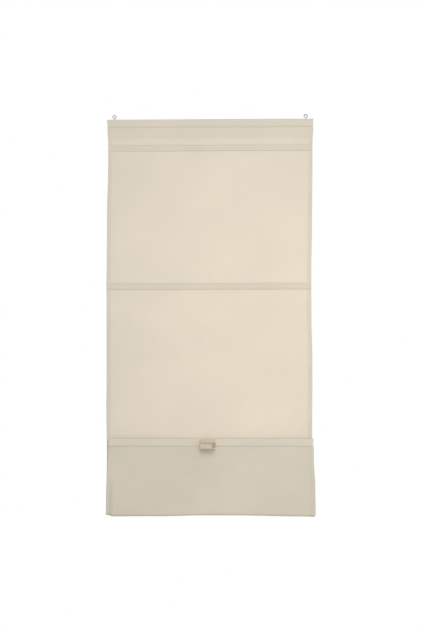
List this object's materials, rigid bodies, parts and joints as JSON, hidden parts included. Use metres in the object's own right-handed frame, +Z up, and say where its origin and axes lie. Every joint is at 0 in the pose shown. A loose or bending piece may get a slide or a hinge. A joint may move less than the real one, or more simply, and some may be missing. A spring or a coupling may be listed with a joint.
{
  "type": "roman blind",
  "caption": "Hand-raised roman blind of plain cloth on flat battens, hung from screw eyes, with its lowest fold lifted to the front and a strap pull on the bottom bar.",
  "frame": {"origin": "midway between the centres of the two hanging eyes", "axes": "+Z up along the drop, +X to the right across the width as seen from the front, +Y into the wall"},
  "size_m": [0.606, 0.0357, 1.1789],
  "materials": {
    "cloth": "plain woven cotton, matt",
    "tape": "plain woven tape, matt",
    "pine": "planed and unpainted",
    "zinc_steel": "zinc plated",
    "bar_metal": "mill finish",
    "magnet": "nickel plated",
    "strap": "soft woven strap, matt"
  },
  "bodies": {
    "root": {"blind_cloth": "cloth", "head_batten": "pine", "screw_eyes": "zinc_steel", "upper_pocket_tape": "tape", "middle_pocket_tape": "tape", "lower_pocket_tape": "tape", "upper_batten": "pine", "middle_batten": "pine", "lower_batten": "pine", "bottom_bar": "bar_metal", "upper_magnets": "magnet", "middle_magnets": "magnet", "lower_magnets": "magnet", "bar_magnets": "magnet", "pull_tab": "strap"}
  },
  "joints": []
}
